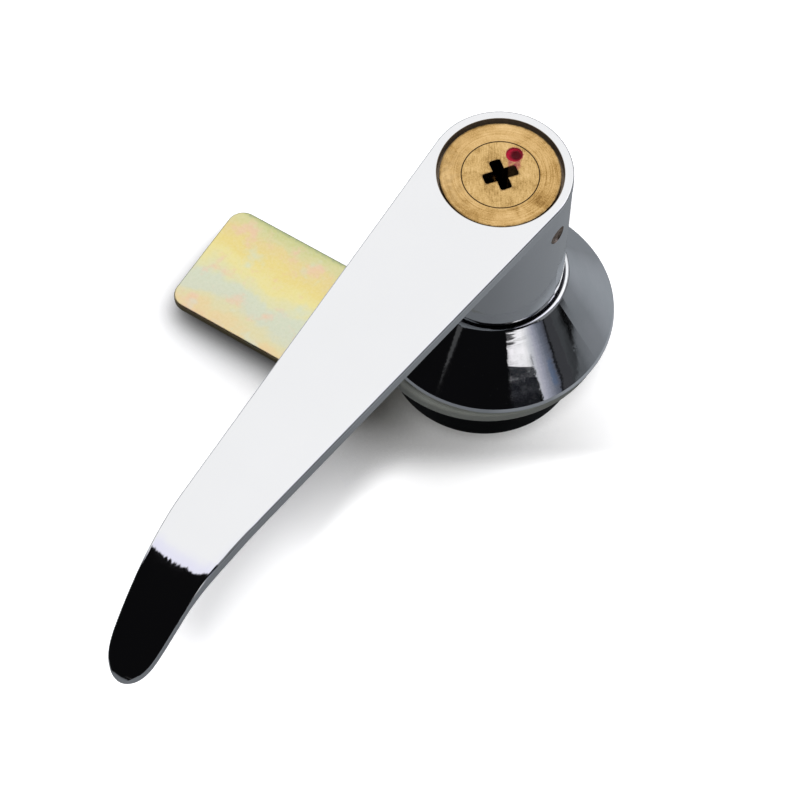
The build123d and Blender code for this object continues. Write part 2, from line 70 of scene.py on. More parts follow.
# ---------------------------------------------------------------------------
# Small node-building language
# ---------------------------------------------------------------------------
class Tree:
    def __init__(self, tree):
        self.t = tree
        self.n = tree.nodes
        self.l = tree.links

    def node(self, kind, **props):
        nd = self.n.new(kind)
        for k, v in props.items():
            setattr(nd, k, v)
        return nd

    def put(self, sock, value):
        if isinstance(value, bpy.types.NodeSocket):
            self.l.new(value, sock)
        elif value is not None:
            if sock.type == "RGBA" and len(value) == 3:
                value = (*value, 1.0)
            sock.default_value = value

    def math(self, op, a, b=None, c=None, clamp=False):
        nd = self.node("ShaderNodeMath", operation=op, use_clamp=clamp)
        self.put(nd.inputs[0], a)
        if b is not None:
            self.put(nd.inputs[1], b)
        if c is not None:
            self.put(nd.inputs[2], c)
        return nd.outputs[0]

    def add(self, a, b):
        return self.math("ADD", a, b)

    def sub(self, a, b):
        return self.math("SUBTRACT", a, b)

    def mul(self, a, b):
        return self.math("MULTIPLY", a, b)

    def div(self, a, b):
        return self.math("DIVIDE", a, b)

    def mn(self, a, b):
        return self.math("MINIMUM", a, b)

    def mx(self, a, b):
        return self.math("MAXIMUM", a, b)

    def step(self, x, lo, hi, a=0.0, b=1.0):
        """Smooth step of x from lo to hi (lo may be above hi), mapped to a..b."""
        nd = self.node("ShaderNodeMapRange", interpolation_type="SMOOTHSTEP")
        if lo > hi:
            lo, hi, a, b = hi, lo, b, a
        self.put(nd.inputs[0], x)
        nd.inputs[1].default_value = lo
        nd.inputs[2].default_value = hi
        nd.inputs[3].default_value = a
        nd.inputs[4].default_value = b
        return nd.outputs[0]

    def lin(self, x, lo, hi, a=0.0, b=1.0):
        nd = self.node("ShaderNodeMapRange", interpolation_type="LINEAR")
        self.put(nd.inputs[0], x)
        nd.inputs[1].default_value = lo
        nd.inputs[2].default_value = hi
        nd.inputs[3].default_value = a
        nd.inputs[4].default_value = b
        return nd.outputs[0]

    def band(self, x, lo, hi, soft):
        """1 between lo and hi with soft edges."""
        return self.mul(self.step(x, lo - soft, lo + soft), self.step(x, hi + soft, hi - soft))

    def sep(self, v):
        nd = self.node("ShaderNodeSeparateXYZ")
        self.put(nd.inputs[0], v)
        return nd.outputs[0], nd.outputs[1], nd.outputs[2]

    def vec(self, x, y, z):
        nd = self.node("ShaderNodeCombineXYZ")
        self.put(nd.inputs[0], x)
        self.put(nd.inputs[1], y)
        self.put(nd.inputs[2], z)
        return nd.outputs[0]

    def dot(self, a, b):
        nd = self.node("ShaderNodeVectorMath", operation="DOT_PRODUCT")
        self.put(nd.inputs[0], a)
        self.put(nd.inputs[1], b)
        return nd.outputs["Value"]

    def vmul(self, a, b):
        nd = self.node("ShaderNodeVectorMath", operation="MULTIPLY")
        self.put(nd.inputs[0], a)
        self.put(nd.inputs[1], b)
        return nd.outputs[0]

    def vadd(self, a, b):
        nd = self.node("ShaderNodeVectorMath", operation="ADD")
        self.put(nd.inputs[0], a)
        self.put(nd.inputs[1], b)
        return nd.outputs[0]

    def noise(self, v, scale, detail=2.0, rough=0.5, dist=0.0, color=False):
        nd = self.node("ShaderNodeTexNoise", noise_dimensions="3D")
        self.put(nd.inputs["Vector"], v)
        nd.inputs["Scale"].default_value = scale
        nd.inputs["Detail"].default_value = detail
        nd.inputs["Roughness"].default_value = rough
        nd.inputs["Distortion"].default_value = dist
        return nd.outputs["Color" if color else "Fac"]

    def voro(self, v, scale, feature="F1", rand=1.0):
        nd = self.node("ShaderNodeTexVoronoi", feature=feature)
        self.put(nd.inputs["Vector"], v)
        nd.inputs["Scale"].default_value = scale
        nd.inputs["Randomness"].default_value = rand
        return nd.outputs["Distance"]

    def mix(self, fac, a, b):
        nd = self.node("ShaderNodeMix", data_type="RGBA")
        self.put(nd.inputs[0], fac)
        self.put(nd.inputs[6], a)
        self.put(nd.inputs[7], b)
        return nd.outputs[2]

    def mixf(self, fac, a, b):
        nd = self.node("ShaderNodeMix", data_type="FLOAT")
        self.put(nd.inputs[0], fac)
        self.put(nd.inputs[2], a)
        self.put(nd.inputs[3], b)
        return nd.outputs[0]

    def ramp(self, fac, stops):
        nd = self.node("ShaderNodeValToRGB")
        cr = nd.color_ramp
        cr.interpolation = "EASE"
        while len(cr.elements) > 1:
            cr.elements.remove(cr.elements[-1])
        cr.elements[0].position, cr.elements[0].color = stops[0][0], (*stops[0][1], 1)
        for p, c in stops[1:]:
            e = cr.elements.new(p)
            e.color = (*c, 1)
        self.put(nd.inputs[0], fac)
        return nd.outputs[0]

    def bump(self, height, dist, strength=1.0, normal=None):
        nd = self.node("ShaderNodeBump")
        nd.inputs["Strength"].default_value = strength
        nd.inputs["Distance"].default_value = dist
        self.put(nd.inputs["Height"], height)
        if normal is not None:
            self.put(nd.inputs["Normal"], normal)
        return nd.outputs[0]


    def tilt(self, normal, vector):
        """A normal tilted by a small vector given along the piece's own axes."""
        nd = self.node("ShaderNodeVectorTransform", vector_type="VECTOR", convert_from="OBJECT", convert_to="WORLD")
        self.put(nd.inputs[0], vector)
        s = self.vadd(normal, nd.outputs[0])
        nn = self.node("ShaderNodeVectorMath", operation="NORMALIZE")
        self.put(nn.inputs[0], s)
        return nn.outputs[0]

    def centred(self, x, gain):
        return self.mul(self.sub(x, 0.5), gain)


class Mat(Tree):
    """A principled material whose coordinates are the piece's own, in millimetres."""

    def __init__(self, name, **sockets):
        self.m = bpy.data.materials.new(name)
        self.m.use_nodes = True
        super().__init__(self.m.node_tree)
        self.n.clear()
        self.out = self.node("ShaderNodeOutputMaterial")
        self.p = self.node("ShaderNodeBsdfPrincipled")
        self.l.new(self.p.outputs[0], self.out.inputs[0])
        self.obj = self.node("ShaderNodeTexCoord").outputs["Object"]
        self.mm = self.vmul(self.obj, (1000, 1000, 1000))
        self.x, self.y, self.z = self.sep(self.mm)
        self.set(**sockets)

    def set(self, **sockets):
        for k, v in sockets.items():
            self.put(self.p.inputs[k.replace("_", " ")], v)
        return self

    def radius(self, cx=0.0, cy=0.0):
        dx, dy = self.sub(self.x, cx), self.sub(self.y, cy)
        return self.math("SQRT", self.add(self.mul(dx, dx), self.mul(dy, dy)))

    def angle(self, cx=0.0, cy=0.0):
        return self.math("ARCTAN2", self.sub(self.y, cy), self.sub(self.x, cx))


def srgb(r, g, b):
    def f(c):
        c /= 255.0
        return c / 12.92 if c <= 0.04045 else ((c + 0.055) / 1.055) ** 2.4
    return (f(r), f(g), f(b))


# ---------------------------------------------------------------------------
# Chrome: polished plate over a casting.  Fine polishing lines run along the
# blade and round the turned parts.
# ---------------------------------------------------------------------------
def chrome_handle():
    k = Mat("chrome_handle", Metallic=1.0)
    r = k.radius()
    barrel = k.mul(k.step(k.z, 47.4, 46.9), k.step(r, 14.2, 13.8))
    # polishing lines along the blade
    along = k.vec(k.mul(k.x, 3.2), k.mul(k.y, 0.16), k.mul(k.z, 0.16))
    h1 = k.noise(along, 1.0, 3.0, 0.55)
    # turned rings on the barrel, stronger near its lower end
    ring = k.noise(k.vec(0.0, k.mul(k.angle(), 0.5), k.mul(k.z, 3.0)), 1.0, 3.0, 0.6)
    low = k.step(k.z, 29.0, 18.0, 0.12, 1.0)
    barrel_h = k.mul(ring, low)
    wavy = k.noise(k.mm, 0.09, 1.0, 0.5)
    n1 = k.bump(k.mixf(barrel, h1, barrel_h), 0.0000036)
    n2 = k.bump(wavy, 0.00006, 1.0, n1)
    pits = k.mul(k.step(k.voro(k.mm, 0.42), 0.11, 0.05), k.step(k.y, -84.0, -80.0))
    n3 = k.bump(pits, -0.000012, 1.0, n2)
    # short chatter across the bend, where the polishing wheel left the blade
    c1 = k.noise(k.vec(k.mul(k.x, 2.4), k.mul(k.y, 0.30), k.mul(k.z, 0.3)), 1.0, 3.0, 0.6)
    c2 = k.noise(k.vec(k.mul(k.x, 0.55), k.mul(k.y, 0.12), k.mul(k.z, 0.12)), 1.0, 1.0, 0.5)
    where = k.mul(k.step(k.y, -88.0, -91.0), k.sub(1.0, barrel))
    c3 = k.noise(k.vec(k.mul(k.x, 5.0), k.mul(k.y, 0.5), k.mul(k.z, 0.5)), 1.0, 2.0, 0.6)
    ch = k.mul(k.add(k.add(k.centred(c1, 0.10), k.centred(c3, 0.05)), k.centred(c2, 0.035)), where)
    hooks = k.add(k.step(k.sub(k.x, k.mul(k.add(k.y, 92.0), 0.12)), -1.7, 0.6, 0.0, -0.085), k.step(k.x, -9.3, -10.6, 0.0, -0.035))
    ch = k.add(ch, k.mul(hooks, k.mul(k.step(k.y, -82.0, -87.0), k.sub(1.0, barrel))))
    n4 = k.tilt(n3, k.vec(0.0, ch, 0.0))
    tint = k.noise(k.mm, 0.05, 2.0, 0.5)
    col = k.mix(tint, (0.755, 0.76, 0.77), (0.795, 0.80, 0.81))
    # painted shade: the recess round the lock cylinder is painted dark, mottled with a painted brownish reflection
    # of the brass
    recess_shade = k.mul(k.step(r, 11.72, 11.62), k.step(k.z, 47.0, 47.5))
    shade_reflection_mottle = k.noise(k.mm, 1.3, 4.0, 0.6)
    col = k.mix(recess_shade, col, k.mix(shade_reflection_mottle, (0.10, 0.072, 0.048), (0.30, 0.225, 0.155)))
    rough = k.lin(k.noise(k.mm, 0.35, 4.0, 0.6), 0.3, 0.7, 0.035, 0.075)
    k.set(Base_Color=col, Roughness=k.mixf(recess_shade, rough, 0.34), Normal=n4, Metallic=k.mixf(recess_shade, 1.0, 0.35))
    return k.m


def chrome_housing():
    k = Mat("chrome_housing", Metallic=1.0)
    # faint turning rings, and a ragged polish that runs round the cone
    ring = k.noise(k.vec(k.mul(k.angle(), 1.3), 0.0, k.mul(k.z, 4.2)), 1.0, 3.0, 0.6)
    n1 = k.bump(ring, 0.0000003)
    wavy = k.noise(k.mm, 0.16, 2.0, 0.5)
    n2 = k.bump(wavy, 0.000008, 1.0, n1)
    a = k.angle()
    beside = k.mul(k.step(k.math("COSINE", k.sub(a, math.radians(-44.0))), 0.955, 0.985), k.step(k.z, 9.5, 7.0))
    pits = k.mul(k.step(k.voro(k.mm, 1.5), 0.08, 0.02), beside)
    n3 = k.bump(pits, -0.000006, 1.0, n2)
    rag = k.noise(k.vec(k.mul(a, 4.0), 0.0, k.mul(k.z, 2.6)), 1.0, 3.0, 0.65)
    spk = k.noise(k.mm, 3.2, 2.0, 0.6)
    far = k.step(k.math("COSINE", k.sub(a, math.radians(-58.2 + 50.0))), 0.80, 0.93)
    g = k.add(k.centred(rag, 0.034), k.mul(k.centred(spk, 0.022), k.add(1.0, far)))
    belts = k.mx(k.mul(k.band(k.z, 7.9, 9.2, 0.5), 0.40), k.mul(k.band(k.z, 11.2, 12.9, 0.5), 0.10))
    up = k.mul(k.centred(spk, 0.040), k.add(k.mul(belts, 1.0), 0.07))
    lines = k.noise(k.vec(k.mul(a, 1.3), 0.0, k.mul(k.z, 2.1)), 1.0, 1.0, 0.5)
    streaked = k.mul(k.step(k.z, 14.4, 15.0), k.step(k.math("COSINE", k.sub(a, math.radians(-46.0))), 0.974, 0.990))
    up = k.add(up, k.mul(k.step(lines, 0.44, 0.56, -0.002, 0.009), streaked))
    # one shallow polishing step, a fraction of a degree, crosses the cone here
    fa = k.add(k.mul(a, 180 / math.pi), 58.2)
    level = k.sub(k.z, k.sub(11.8, k.mul(fa, 0.0715)))
    kick = k.mul(k.step(level, -0.12, 0.12, -0.0014, 0.0045), k.mul(k.band(fa, 4.5, 22.3, 1.2), k.step(k.z, 14.4, 13.2)))
    up = k.add(up, k.mul(kick, k.step(level, -2.2, -1.2)))
    n4 = k.tilt(n3, k.vec(k.mul(k.math("SINE", a), k.mul(g, -1.0)), k.mul(k.math("COSINE", a), g), up))
    dull = k.noise(k.mm, 0.5, 4.0, 0.65)
    cloud = k.noise(k.mm, 0.16, 3.0, 0.6)
    base = k.mix(k.step(cloud, 0.35, 0.65), (0.70, 0.72, 0.735), (0.80, 0.80, 0.825))
    # painted shade: the lip's inner edge round the barrel is painted dark, as shade in the gap
    gap_shade = k.mul(k.step(k.radius(), 13.50, 13.43), k.step(k.z, 15.6, 16.0))
    k.set(Base_Color=k.mix(gap_shade, k.mix(dull, base, (0.77, 0.78, 0.795)), (0.10, 0.10, 0.115)),
          Roughness=k.mixf(gap_shade, k.lin(dull, 0.3, 0.75, 0.024, 0.05), 0.3), Normal=n4)
    return k.m


def brass_body():
    """Turned brass face with fine rings, darker where it meets the plug and the handle."""
    k = Mat("brass_turned", Metallic=1.0)
    r, a = k.radius(), k.angle()
    v = k.vadd(k.mm, (3.0, 8.0, 1.0))
    smudge = k.noise(v, 0.22, 4.0, 0.6, 0.5)
    rings = k.noise(k.vec(k.mul(r, 4.2), k.mul(a, 0.7), k.mul(k.z, 0.6)), 1.0, 4.0, 0.65)
    grain = k.noise(v, 4.0, 3.0, 0.7)
    t = k.add(k.mul(smudge, 0.42), k.add(k.mul(rings, 0.32), k.mul(grain, 0.26)))
    col = k.ramp(t, [(0.39, (0.29, 0.155, 0.042)), (0.455, (0.49, 0.295, 0.098)), (0.515, (0.655, 0.425, 0.17)), (0.60, (0.78, 0.53, 0.245))])
    blotch_noise = k.noise(v, 0.9, 3.0, 0.6)
    rim = k.mul(k.step(r, 10.6, 11.0), k.step(blotch_noise, 0.30, 0.62, 0.2, 0.9))
    col = k.mix(rim, col, (0.13, 0.078, 0.028))
    # painted shade: a dark line where the face meets the plug
    gap_shade = k.step(r, 7.24, 7.15)
    col = k.mix(gap_shade, col, (0.05, 0.028, 0.012))
    # the side away from the plug's dot is darker in blotches
    side = k.mul(k.step(k.add(k.mul(k.x, -0.75), k.mul(k.y, -0.55)), 3.0, 11.5), k.step(blotch_noise, 0.35, 0.7, 0.1, 0.6))
    col = k.mix(side, col, (0.30, 0.185, 0.07))
    h = k.add(rings, k.mul(grain, 0.5))
    k.set(Base_Color=col, Roughness=k.lin(t, 0.38, 0.62, 0.40, 0.25), Normal=k.bump(h, 0.000024))
    return k.m


def brass_plug():
    """Sawn plug face: straight lines, burrs round the keyway, a smear of paint."""
    k = Mat("brass_sawn", Metallic=1.0)
    r = k.radius()
    v = k.vadd(k.mm, (31.0, 17.0, 4.0))
    smudge = k.noise(v, 0.30, 4.0, 0.6, 0.5)
    u = k.add(k.mul(k.x, 0.84), k.mul(k.y, 0.54))
    w = k.add(k.mul(k.x, -0.54), k.mul(k.y, 0.84))
    saw = k.noise(k.vec(k.mul(u, 4.6), k.mul(w, 0.45), k.mul(k.z, 0.6)), 1.0, 4.0, 0.65)
    grain = k.noise(v, 4.4, 4.0, 0.7)
    t = k.add(k.mul(smudge, 0.36), k.add(k.mul(saw, 0.30), k.mul(grain, 0.34)))
    col = k.ramp(t, [(0.39, (0.34, 0.20, 0.06)), (0.455, (0.51, 0.32, 0.115)), (0.515, (0.65, 0.43, 0.17)), (0.60, (0.76, 0.52, 0.235))])
    # painted shade: a dark line where the plug meets the body
    gap_shade = k.step(r, 6.92, 7.02)
    col = k.mix(gap_shade, col, (0.05, 0.028, 0.012))
    # worn dark edge round the keyway's arms
    ka = math.radians(52.4)
    p = k.add(k.mul(k.x, math.cos(ka)), k.mul(k.y, math.sin(ka)))
    q = k.add(k.mul(k.x, -math.sin(ka)), k.mul(k.y, math.cos(ka)))
    ap, aq = k.math("ABSOLUTE", p), k.math("ABSOLUTE", q)
    arm1 = k.mx(k.sub(ap, 3.25), k.sub(aq, 1.1))
    arm2 = k.mx(k.sub(ap, 1.1), k.sub(aq, 3.25))
    away = k.mn(arm1, arm2)
    worn = k.mul(k.step(away, 0.30, 0.04), k.step(k.noise(v, 1.7, 2.0, 0.5), 0.35, 0.6, 0.15, 0.75))
    col = k.mix(worn, col, (0.20, 0.115, 0.045))
    # paint: a thin rim round the dot and a smear towards the keyway
    rd = k.radius(-0.087, 5.0)
    rimp = k.step(k.add(rd, k.centred(k.noise(v, 2.2, 2.0, 0.6), 0.3)), 1.72, 1.52)
    sx, sy = k.sub(k.x, -0.087), k.sub(k.y, 5.0)
    L2 = 1.15 ** 2 + 1.95 ** 2
    s_t = k.math("MULTIPLY", k.add(k.mul(sx, 1.15 / L2), k.mul(sy, -1.95 / L2)), 1.0, clamp=True)
    ex, ey = k.sub(sx, k.mul(s_t, 1.15)), k.sub(sy, k.mul(s_t, -1.95))
    ds = k.math("SQRT", k.add(k.mul(ex, ex), k.mul(ey, ey)))
    blot = k.noise(v, 1.5, 4.0, 0.65)
    smear = k.mul(k.step(k.add(ds, k.centred(blot, 1.3)), 1.35, 0.95), k.step(blot, 0.34, 0.58, 0.3, 0.8))
    paint = k.mx(k.mul(rimp, 0.85), smear)
    col = k.mix(paint, col, (0.36, 0.022, 0.05))
    # inside the keyway the walls are painted dark as shade
    col = k.mix(k.step(k.z, 49.9, 49.5), col, (0.11, 0.065, 0.03))
    h = k.add(saw, k.mul(grain, 0.7))
    k.set(Base_Color=col, Roughness=k.lin(t, 0.38, 0.62, 0.44, 0.28), Normal=k.bump(h, 0.000028),
          Metallic=k.step(paint, 0.1, 0.8, 1.0, 0.25))
    return k.m


def yellow_zinc(name="yellow_zinc_film"):
    """Yellow-passivated zinc: straw yellow with peach, blue-grey and green clouds
    that follow the plate's edges."""
    k = Mat(name, Metallic=1.0)
    v = k.vadd(k.mm, (14.0, 3.0, 5.0))
    w1 = k.centred(k.noise(v, 0.10, 3.0, 0.55, 0.6), 9.0)
    w2 = k.centred(k.noise(k.vadd(v, (40.0, 11.0, 0.0)), 0.16, 3.0, 0.6), 5.0)
    y = k.add(k.y, k.add(w1, w2))
    # across the plate, from one long edge to the other
    t = k.lin(y, -13.5, 13.5)
    col = k.ramp(t, [(0.00, (0.80, 0.59, 0.34)), (0.07, (0.80, 0.65, 0.36)), (0.15, (0.74, 0.69, 0.42)), (0.24, (0.655, 0.69, 0.54)),
                     (0.34, (0.655, 0.70, 0.545)), (0.43, (0.76, 0.73, 0.42)), (0.52, (0.83, 0.745, 0.33)), (0.66, (0.82, 0.685, 0.26)),
                     (0.80, (0.79, 0.65, 0.30)), (0.90, (0.69, 0.66, 0.34)), (1.00, (0.60, 0.62, 0.29))])
    p1 = k.noise(k.vadd(v, (7.0, 60.0, 9.0)), 0.19, 3.0, 0.6)
    col = k.mix(k.step(p1, 0.52, 0.72, 0.0, 0.75), col, (0.84, 0.575, 0.425))
    p2 = k.noise(k.vadd(v, (3.0, 21.0, 33.0)), 0.15, 3.0, 0.6)
    col = k.mix(k.step(p2, 0.54, 0.72, 0.0, 0.6), col, (0.66, 0.74, 0.60))
    fine = k.noise(v, 1.3, 5.0, 0.72)
    col = k.mix(k.step(fine, 0.40, 0.80, 0.0, 0.35), col, (0.86, 0.80, 0.60))
    col = k.mix(k.step(fine, 0.56, 0.30, 0.0, 0.16), col, (0.60, 0.50, 0.22))
    # the sheared edge's side wall is painted dark as shade, and the film thins to grey-green along one long edge
    wall_shade = k.step(k.z, -39.12, -39.45)
    col = k.mix(wall_shade, col, k.mix(fine, (0.10, 0.07, 0.025), (0.26, 0.20, 0.085)))
    bare = k.mul(k.step(k.add(k.y, k.centred(fine, 2.0)), 12.3, 13.4), k.step(k.z, -38.0, -38.9))
    col = k.mix(k.mul(bare, 0.75), col, (0.30, 0.36, 0.20))
    k.set(Base_Color=col, Roughness=k.lin(fine, 0.3, 0.7, 0.30, 0.42), Normal=k.bump(fine, 0.000018))
    return k.m


def grey_rubber():
    k = Mat("grey_rubber_moulded")
    g = k.noise(k.mm, 2.6, 5.0, 0.65)
    big = k.noise(k.mm, 0.22, 2.0, 0.5)
    col = k.mix(big, (0.165, 0.174, 0.156), (0.22, 0.229, 0.208))
    col = k.mix(k.step(g, 0.5, 0.8, 0.0, 0.5), col, (0.27, 0.275, 0.255))
    k.set(Base_Color=col, Roughness=k.lin(g, 0.3, 0.7, 0.42, 0.6), Normal=k.bump(g, 0.00004))
    k.set(Specular_IOR_Level=0.5)
    return k.m


def black_enamel():
    k = Mat("black_enamel_gloss")
    g = k.noise(k.mm, 0.35, 2.0, 0.5)
    dust = k.noise(k.mm, 3.0, 4.0, 0.7)
    col = k.mix(k.step(dust, 0.62, 0.85, 0.0, 0.5), (0.0008, 0.0009, 0.0008), (0.004, 0.0042, 0.0038))
    k.set(Base_Color=col, Roughness=k.lin(dust, 0.3, 0.8, 0.09, 0.2), Normal=k.bump(g, 0.00006), IOR=1.09)
    return k.m


def red_paint():
    k = Mat("red_paint_gloss")
    g = k.noise(k.mm, 1.2, 3.0, 0.6)
    # thin and bright at the rim; the middle is painted dark as shade deep in the pit
    rd = k.radius(0.22, 5.16)
    pit_shade = k.step(k.add(rd, k.centred(g, 0.5)), 1.5, 0.7)
    col = k.mix(pit_shade, (0.47, 0.010, 0.038), (0.085, 0.0014, 0.006))
    k.set(Base_Color=col, Roughness=k.lin(g, 0.3, 0.7, 0.10, 0.2), Normal=k.bump(g, 0.00012), IOR=1.17)
    return k.m


def steel(name, dark, light, r0, r1, squash=(1, 1, 1), scale=1.2, dist=0.00002):
    k = Mat(name, Metallic=1.0)
    g = k.noise(k.vmul(k.mm, squash), scale, 4.0, 0.6)
    k.set(Base_Color=k.mix(g, dark, light), Roughness=k.lin(g, 0.3, 0.7, r0, r1), Normal=k.bump(g, dist))
    return k.m


def rusty_pin():
    k = Mat("pin_steel_darkened", Metallic=1.0)
    g = k.noise(k.mm, 1.5, 5.0, 0.7)
    col = k.ramp(g, [(0.32, (0.09, 0.062, 0.045)), (0.5, (0.28, 0.20, 0.15)), (0.7, (0.46, 0.36, 0.29))])
    k.set(Base_Color=col, Roughness=k.lin(g, 0.3, 0.7, 0.6, 0.38), Normal=k.bump(g, 0.00006))
    return k.m


def soft(name, a, b, rough0, rough1):
    k = Mat(name)
    g = k.noise(k.mm, 1.4, 4.0, 0.6)
    k.set(Base_Color=k.mix(g, a, b), Roughness=k.lin(g, 0.3, 0.7, rough0, rough1), Normal=k.bump(g, 0.00003))
    return k.m


FINISH = {}
ch_handle, ch_house = chrome_handle(), chrome_housing()
zinc = yellow_zinc()
FINISH["handle"] = ch_handle
FINISH["housing"] = ch_house
FINISH["cylinder_body"] = brass_body()
FINISH["key_plug"] = brass_plug()
FINISH["marker_dot"] = red_paint()
pins = steel("pin_brass_turned", (0.55, 0.38, 0.16), (0.8, 0.6, 0.3), 0.25, 0.4, (1, 1, 5))
FINISH["key_pins"] = FINISH["driver_pins"] = FINISH["chamber_caps"] = pins
wire = steel("spring_steel_drawn", (0.42, 0.42, 0.43), (0.62, 0.62, 0.63), 0.18, 0.32)
FINISH["pin_springs"] = FINISH["detent_spring"] = FINISH["plug_clip"] = wire
FINISH["cylinder_pin"] = rusty_pin()
ground = steel("plain_steel_ground", (0.46, 0.46, 0.47), (0.66, 0.66, 0.67), 0.2, 0.36, (1, 6, 1))
FINISH["tailpiece"] = FINISH["lock_bolt"] = FINISH["detent_ball"] = ground
FINISH["o_ring"] = soft("black_rubber_satin", (0.012, 0.012, 0.012), (0.03, 0.03, 0.03), 0.42, 0.58)
FINISH["thrust_washer"] = soft("white_nylon_matt", (0.72, 0.72, 0.68), (0.82, 0.82, 0.79), 0.5, 0.62)
FINISH["panel_gasket"] = grey_rubber()
FINISH["clamp_collar"] = black_enamel()
for n in ("lock_washer", "panel_nut", "stop_plate", "cam", "cam_washer", "spring_washer", "cam_screw"):
    FINISH[n] = zinc

for name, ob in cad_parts.items():
    ob.data.materials.clear()
    ob.data.materials.append(FINISH[name])

# ---------------------------------------------------------------------------
# Floor: a plain pale sheet
# ---------------------------------------------------------------------------
bm = bmesh.new()
S = 3.0
vs = [bm.verts.new((x, y, FLOOR_Z)) for x, y in ((-S, -S), (S, -S), (S, S), (-S, S))]
bm.faces.new(vs)
me = bpy.data.meshes.new("floor")
bm.to_mesh(me)
bm.free()
floor = bpy.data.objects.new("floor", me)
bpy.context.scene.collection.objects.link(floor)
fm = bpy.data.materials.new("floor_paper")
fm.use_nodes = True
ft = Tree(fm.node_tree)
ft.n.clear()
fo = ft.node("ShaderNodeOutputMaterial")
fd = ft.node("ShaderNodeBsdfDiffuse")
lp = ft.node("ShaderNodeLightPath")
fpos = ft.node("ShaderNodeTexCoord").outputs["Object"]
fx, fy, fz = ft.sep(fpos)
fdist = ft.math("SQRT", ft.add(ft.mul(fx, fx), ft.mul(fy, fy)))
# in the polished metal the sheet is painted dimmer with distance, less so on the right, where it ends in a straight
# edge with a painted shadow behind it
fu, fv = ft.dot(fpos, tuple(ER)), ft.dot(fpos, tuple(EF))
rightwards = ft.step(ft.div(fu, ft.mx(fdist, 0.001)), 0.2, 0.9)
fade = ft.mx(ft.step(fdist, 0.12, 1.3, 1.0, 0.0), ft.mul(rightwards, ft.mul(ft.step(fdist, 0.07, 0.42, 1.55, 0.50), ft.step(fdist, 0.062, 0.085, 0.58, 1.0))))
ragged = ft.noise(fpos, 9.0, 3.0, 0.6)
past_edge = ft.add(ft.add(ft.mul(fu, 0.65), fv), ft.centred(ragged, 0.10))
sheet = ft.step(past_edge, 0.315, 0.285)
beyond = ft.mx(ft.step(past_edge, 0.325, 0.42, 0.0, 0.25), ft.mul(ft.step(past_edge, 0.295, 0.325, 0.0, 0.18), ft.step(fu, 0.72, 1.0)))
beyond = ft.mul(beyond, ft.step(fu, 0.1, 0.3))
fade = ft.add(ft.mul(fade, ft.mx(sheet, ft.step(fu, 0.2, 0.0))), beyond)
# painted light: in the metal the sheet is brighter on the right and much brighter behind the lock on the left
behind = ft.mul(ft.step(fv, 0.0, 0.12), ft.step(fu, 0.03, -0.08))
fade = ft.mul(fade, ft.add(ft.add(0.80, ft.mul(ft.step(fu, -0.02, 0.06), 0.24)), ft.mul(behind, 2.0)))
seen = ft.vmul(ft.vec(fade, fade, fade), (0.250, 0.266, 0.284))
paper = ft.noise(fpos, 60.0, 3.0, 0.6)
# painted shade: the sheet shows darker in the metal than it does to the camera
col = ft.mix(lp.outputs["Is Glossy Ray"], ft.mix(paper, (0.46, 0.464, 0.474), (0.48, 0.484, 0.494)), seen)
col = ft.mix(lp.outputs["Is Camera Ray"], col, ft.mix(paper, (1.46, 1.46, 1.472), (1.49, 1.49, 1.502)))
# painted shade: ambient occlusion darkens the sheet in corners under the lock, where less light reaches than on the
# open sheet
ao = ft.node("ShaderNodeAmbientOcclusion", samples=16)
ao.inputs["Distance"].default_value = 0.045
lean = (ER * 0.20 + EF * 0.42 + UP * 0.885).normalized()
ft.put(ao.inputs["Normal"], ft.vadd(ft.node("ShaderNodeNewGeometry").outputs["Normal"], tuple(lean * 1.0 - UP)))
painted_light_and_shade = ft.math("POWER", ao.outputs["AO"], 1.5)
# a painted pool of light brightens the sheet in front of the lock
beside = ft.sub(ft.mul(fu, math.cos(TURN)), ft.mul(fv, math.sin(TURN)))
painted_pool = ft.mul(ft.step(fv, -0.006, -0.015), ft.step(beside, -0.0165, -0.0070))
painted_light_and_shade = ft.mul(painted_light_and_shade, ft.add(1.0, ft.mul(painted_pool, 1.05)))
shade = ft.mixf(lp.outputs["Is Camera Ray"], 1.0, painted_light_and_shade)
col = ft.vmul(col, ft.vec(shade, shade, shade))
ft.put(fd.inputs["Color"], col)
ft.l.new(fd.outputs[0], fo.inputs[0])
floor.data.materials.append(fm)

# ---------------------------------------------------------------------------
# Room: one large soft box overhead and behind, a narrow one at the right,
# the rest of the room dim
# ---------------------------------------------------------------------------
world = bpy.data.worlds.new("room")
bpy.context.scene.world = world
world.use_nodes = True
wt = Tree(world.node_tree)
wt.n.clear()
wo = wt.node("ShaderNodeOutputWorld")
bg = wt.node("ShaderNodeBackground")
d = wt.node("ShaderNodeTexCoord").outputs["Generated"]
du = wt.dot(d, tuple(ER))
dv = wt.dot(d, tuple(EF))
dw = wt.sep(d)[2]
az = wt.mul(wt.math("ARCTAN2", du, wt.mul(dv, -1.0)), 180 / math.pi)
el = wt.mul(wt.math("ARCSINE", dw), 180 / math.pi)
dwp = wt.mx(dw, 0.02)
X, Y = wt.div(du, dwp), wt.div(dv, dwp)
top = wt.mul(wt.mul(wt.step(Y, 0.03, 0.07), wt.step(Y, 2.6, 2.2)), wt.band(X, -1.7, 1.7, 0.15))
